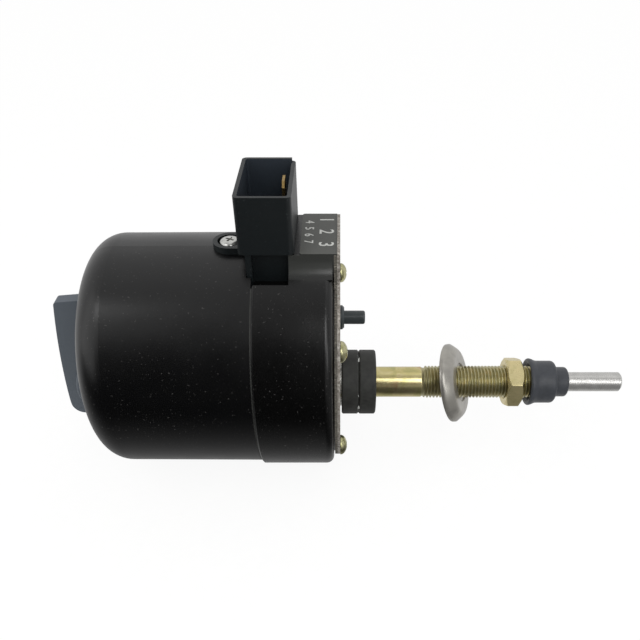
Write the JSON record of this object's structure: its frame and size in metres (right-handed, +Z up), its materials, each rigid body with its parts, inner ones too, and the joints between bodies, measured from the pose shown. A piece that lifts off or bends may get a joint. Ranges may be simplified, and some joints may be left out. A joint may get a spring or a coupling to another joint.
{
  "type": "wiper motor",
  "caption": "Electric wiper motor: round two-piece housing, plug socket and label block on top, long threaded spindle bushing with pads, dished washer, nut and seal cap, and a hand lever behind",
  "frame": {"origin": "on the spindle axis, where the vehicle panel meets the outer rubber pad", "axes": "+X runs out along the spindle to the wiper arm, +Z points up to the plug socket, +Y follows by the right-hand rule"},
  "size_m": [0.2075, 0.083, 0.1044],
  "materials": {
    "pressed_steel": "satin black enamel",
    "cast_zinc": "satin black enamel over a die casting",
    "plate_steel": "zinc plated",
    "gasket_fibre": "pressed fibre",
    "black_rubber": "matte",
    "connector_plastic": "moulded nylon",
    "blade_brass": "bright",
    "screw_steel": "bright zinc",
    "yellow_zinc": "yellow passivated zinc",
    "washer_steel": "satin zinc",
    "lever_plastic": "moulded",
    "cap_rubber": "matte",
    "shaft_steel": "ground",
    "bush_bronze": "oil-filled sintered bronze",
    "gear_plastic": "acetal",
    "carrier_steel": "zinc plated",
    "magnet_ferrite": "sintered ferrite",
    "core_steel": "laminated",
    "winding_copper": "enamelled copper wire",
    "card_board": "phenolic board",
    "brush_carbon": "carbon",
    "capacitor_film": "dipped film",
    "gear_steel": "machined"
  },
  "bodies": {
    "root": {"mounting_plate": "plate_steel", "plate_gasket": "gasket_fibre", "gear_housing": "cast_zinc", "cover_seal": "black_rubber", "rear_cover": "pressed_steel", "connector_housing": "connector_plastic", "terminal_blades": "blade_brass", "connector_screw": "screw_steel", "connector_nut": "screw_steel", "plate_screws": "yellow_zinc", "locating_peg": "black_rubber", "collar_washer": "screw_steel", "inner_pad": "black_rubber", "outer_pad": "black_rubber", "spindle_bushing": "yellow_zinc", "dished_washer": "washer_steel", "hex_nut": "yellow_zinc", "seal_cap": "cap_rubber", "front_bush": "bush_bronze", "plate_bush": "bush_bronze", "cover_bush": "bush_bronze", "thrust_washer": "screw_steel", "carrier_plate": "carrier_steel", "carrier_screws": "screw_steel", "first_gear_post": "shaft_steel", "second_gear_post": "shaft_steel", "crank_post": "shaft_steel", "post_clips": "screw_steel", "motor_can": "pressed_steel", "motor_end_cap": "connector_plastic", "motor_screws": "screw_steel", "field_magnets": "magnet_ferrite", "motor_front_bush": "bush_bronze", "motor_rear_bush": "bush_bronze", "brush_card": "card_board", "brushes": "brush_carbon", "brush_springs": "blade_brass", "park_contacts": "blade_brass", "noise_capacitor": "capacitor_film"},
    "crank": {"crank_wheel": "gear_plastic", "crank_pin": "shaft_steel", "park_disc": "blade_brass"},
    "second_gear_body": {"second_gear": "gear_plastic"},
    "first_gear_body": {"first_gear": "gear_plastic"},
    "armature": {"armature_shaft": "shaft_steel", "armature_core": "core_steel", "armature_windings": "winding_copper", "commutator": "blade_brass", "motor_pinion": "gear_steel"},
    "spindle": {"wiper_shaft": "shaft_steel", "rocker_lever": "carrier_steel", "rocker_pin": "shaft_steel", "hand_lever": "lever_plastic", "lever_pin": "screw_steel", "shaft_clip": "screw_steel"},
    "rod": {"connecting_rod": "carrier_steel"}
  },
  "joints": [
    {"name": "crank_turn", "type": "hinge", "parent": "root", "child": "crank", "pos_m": [-0.0288, -0.01133, 0.0202], "axis": [1, 0, 0], "continuous": true},
    {"name": "second_gear_turn", "type": "hinge", "parent": "root", "child": "second_gear_body", "pos_m": [-0.0331, 0.01186, 0.01711], "axis": [1, 0, 0], "continuous": true},
    {"name": "first_gear_turn", "type": "hinge", "parent": "root", "child": "first_gear_body", "pos_m": [-0.0371, 0.01397, 0.03377], "axis": [1, 0, 0], "continuous": true},
    {"name": "armature_turn", "type": "hinge", "parent": "root", "child": "armature", "pos_m": [-0.0371, 0, 0.0283], "axis": [1, 0, 0], "continuous": true},
    {"name": "spindle_turn", "type": "hinge", "parent": "root", "child": "spindle", "pos_m": [0, 0, 0], "axis": [1, 0, 0], "range_deg": [-52.5, 52.5]},
    {"name": "rod_turn", "type": "hinge", "parent": "spindle", "child": "rod", "pos_m": [-0.02325, 0.00778, 0.00826], "axis": [1, 0, 0], "range_deg": [-52.5, 52.5]}
  ],
  "couplings": [
    {"joint": "second_gear_turn", "follows": "crank_turn", "ratio": -3.3333},
    {"joint": "first_gear_turn", "follows": "crank_turn", "ratio": 12.667},
    {"joint": "armature_turn", "follows": "crank_turn", "ratio": -50.667},
    {"joint": "rod_turn", "follows": "spindle_turn", "ratio": -1}
  ]
}
